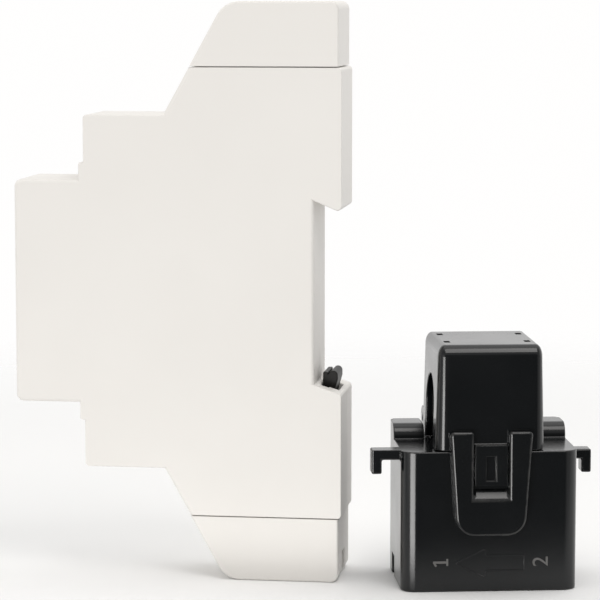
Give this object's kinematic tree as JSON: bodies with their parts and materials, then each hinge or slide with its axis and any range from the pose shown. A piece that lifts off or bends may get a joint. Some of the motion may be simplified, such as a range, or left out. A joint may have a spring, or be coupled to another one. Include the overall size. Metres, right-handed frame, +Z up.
{
  "type": "energy monitor",
  "caption": "Slim off-white meter that clips on a rail, with stepped front, pull-off terminal covers and rail clip, and a black split-core current sensor with a hinged jaw.",
  "frame": {"origin": "middle of the rail seat of the meter: mid-width, at the height of the rail's middle", "axes": "+X back towards the rail and wall, -X to the front, +Y across the width, +Z up"},
  "size_m": [0.1155, 0.0352, 0.116],
  "materials": {
    "case_white": "fine matte",
    "clip_black": "satin",
    "panel_grey": "matte",
    "light_clear": "clear moulded",
    "block_white": "matte",
    "switch_black": "matte",
    "steel": "zinc plated",
    "board_green": "solder mask",
    "film_yellow": "moulded",
    "varistor_blue": "dipped",
    "fuse_tan": "lacquered",
    "brass": "tinned edges",
    "sensor_black": "satin gloss",
    "core_iron": "pressed",
    "copper": "enamelled"
  },
  "bodies": {
    "meter": {"case_left": "case_white", "case_right": "case_white", "front_panel": "panel_grey", "light_guide": "light_clear", "tact_switch": "steel", "indicator_lights": "light_clear", "main_board": "board_green", "radio_module": "steel", "metering_chip": "switch_black", "film_capacitor": "film_yellow", "bulk_capacitors": "switch_black", "varistor": "varistor_blue", "fuse": "fuse_tan", "top_block": "block_white", "bottom_block": "block_white", "top_busbars": "brass", "bottom_busbars": "brass", "sensor_base": "sensor_black", "sensor_floor": "sensor_black", "lower_core": "core_iron", "coil_former": "block_white", "coil_winding": "copper", "hinge_pin": "steel"},
    "upper_cover": {"top_cover": "case_white"},
    "lower_cover": {"bottom_cover": "case_white"},
    "clip": {"rail_clip": "clip_black"},
    "button": {"push_button": "panel_grey", "switch_plunger": "switch_black"},
    "jaw": {"sensor_jaw": "sensor_black", "jaw_liner": "sensor_black", "upper_core": "core_iron", "core_spring": "steel"},
    "latch": {"sensor_latch": "sensor_black"},
    "top_screw_left_body": {"top_screw_left": "steel"},
    "top_cage_left_body": {"top_cage_left": "steel"},
    "top_screw_right_body": {"top_screw_right": "steel"},
    "top_cage_right_body": {"top_cage_right": "steel"},
    "bottom_screw_left_body": {"bottom_screw_left": "steel"},
    "bottom_cage_left_body": {"bottom_cage_left": "steel"},
    "bottom_screw_right_body": {"bottom_screw_right": "steel"},
    "bottom_cage_right_body": {"bottom_cage_right": "steel"}
  },
  "joints": [
    {"name": "top_cover_slide", "type": "slide", "parent": "meter", "child": "upper_cover", "axis": [0, 0, 1], "range_m": [0, 0.02]},
    {"name": "bottom_cover_slide", "type": "slide", "parent": "meter", "child": "lower_cover", "axis": [0, 0, -1], "range_m": [0, 0.02]},
    {"name": "clip_slide", "type": "slide", "parent": "meter", "child": "clip", "axis": [0, 0, -1], "range_m": [0, 0.004]},
    {"name": "button_press", "type": "slide", "parent": "meter", "child": "button", "axis": [1, 0, 0], "range_m": [0, 0.0005], "stiffness_N_per_m": 1600},
    {"name": "jaw_open", "type": "hinge", "parent": "meter", "child": "jaw", "pos_m": [0.02986, 0.01477, -0.0273], "axis": [-0.9781, -0.2079, 0], "range_deg": [0, 110]},
    {"name": "latch_flex", "type": "hinge", "parent": "meter", "child": "latch", "pos_m": [0.03564, -0.01242, -0.0464], "axis": [0.9781, 0.2079, 0], "range_deg": [0, 8], "stiffness_Nm_per_rad": 0.4},
    {"name": "top_screw_left_turn", "type": "hinge", "parent": "meter", "child": "top_screw_left_body", "pos_m": [-0.0145, 0.00335, 0.0502], "axis": [1, 0, 0], "range_deg": [0, 2017]},
    {"name": "top_cage_left_slide", "type": "slide", "parent": "meter", "child": "top_cage_left_body", "axis": [-1, 0, 0], "range_m": [0, 0.0028]},
    {"name": "top_screw_right_turn", "type": "hinge", "parent": "meter", "child": "top_screw_right_body", "pos_m": [-0.0145, -0.00335, 0.0502], "axis": [1, 0, 0], "range_deg": [0, 2017]},
    {"name": "top_cage_right_slide", "type": "slide", "parent": "meter", "child": "top_cage_right_body", "axis": [-1, 0, 0], "range_m": [0, 0.0028]},
    {"name": "bottom_screw_left_turn", "type": "hinge", "parent": "meter", "child": "bottom_screw_left_body", "pos_m": [-0.0145, 0.00335, -0.0502], "axis": [1, 0, 0], "range_deg": [0, 2017]},
    {"name": "bottom_cage_left_slide", "type": "slide", "parent": "meter", "child": "bottom_cage_left_body", "axis": [-1, 0, 0], "range_m": [0, 0.0028]},
    {"name": "bottom_screw_right_turn", "type": "hinge", "parent": "meter", "child": "bottom_screw_right_body", "pos_m": [-0.0145, -0.00335, -0.0502], "axis": [1, 0, 0], "range_deg": [0, 2017]},
    {"name": "bottom_cage_right_slide", "type": "slide", "parent": "meter", "child": "bottom_cage_right_body", "axis": [-1, 0, 0], "range_m": [0, 0.0028]}
  ],
  "couplings": [
    {"joint": "top_screw_left_turn", "follows": "top_cage_left_slide", "rad_per_m": 12566},
    {"joint": "top_screw_right_turn", "follows": "top_cage_right_slide", "rad_per_m": 12566},
    {"joint": "bottom_screw_left_turn", "follows": "bottom_cage_left_slide", "rad_per_m": 12566},
    {"joint": "bottom_screw_right_turn", "follows": "bottom_cage_right_slide", "rad_per_m": 12566}
  ]
}
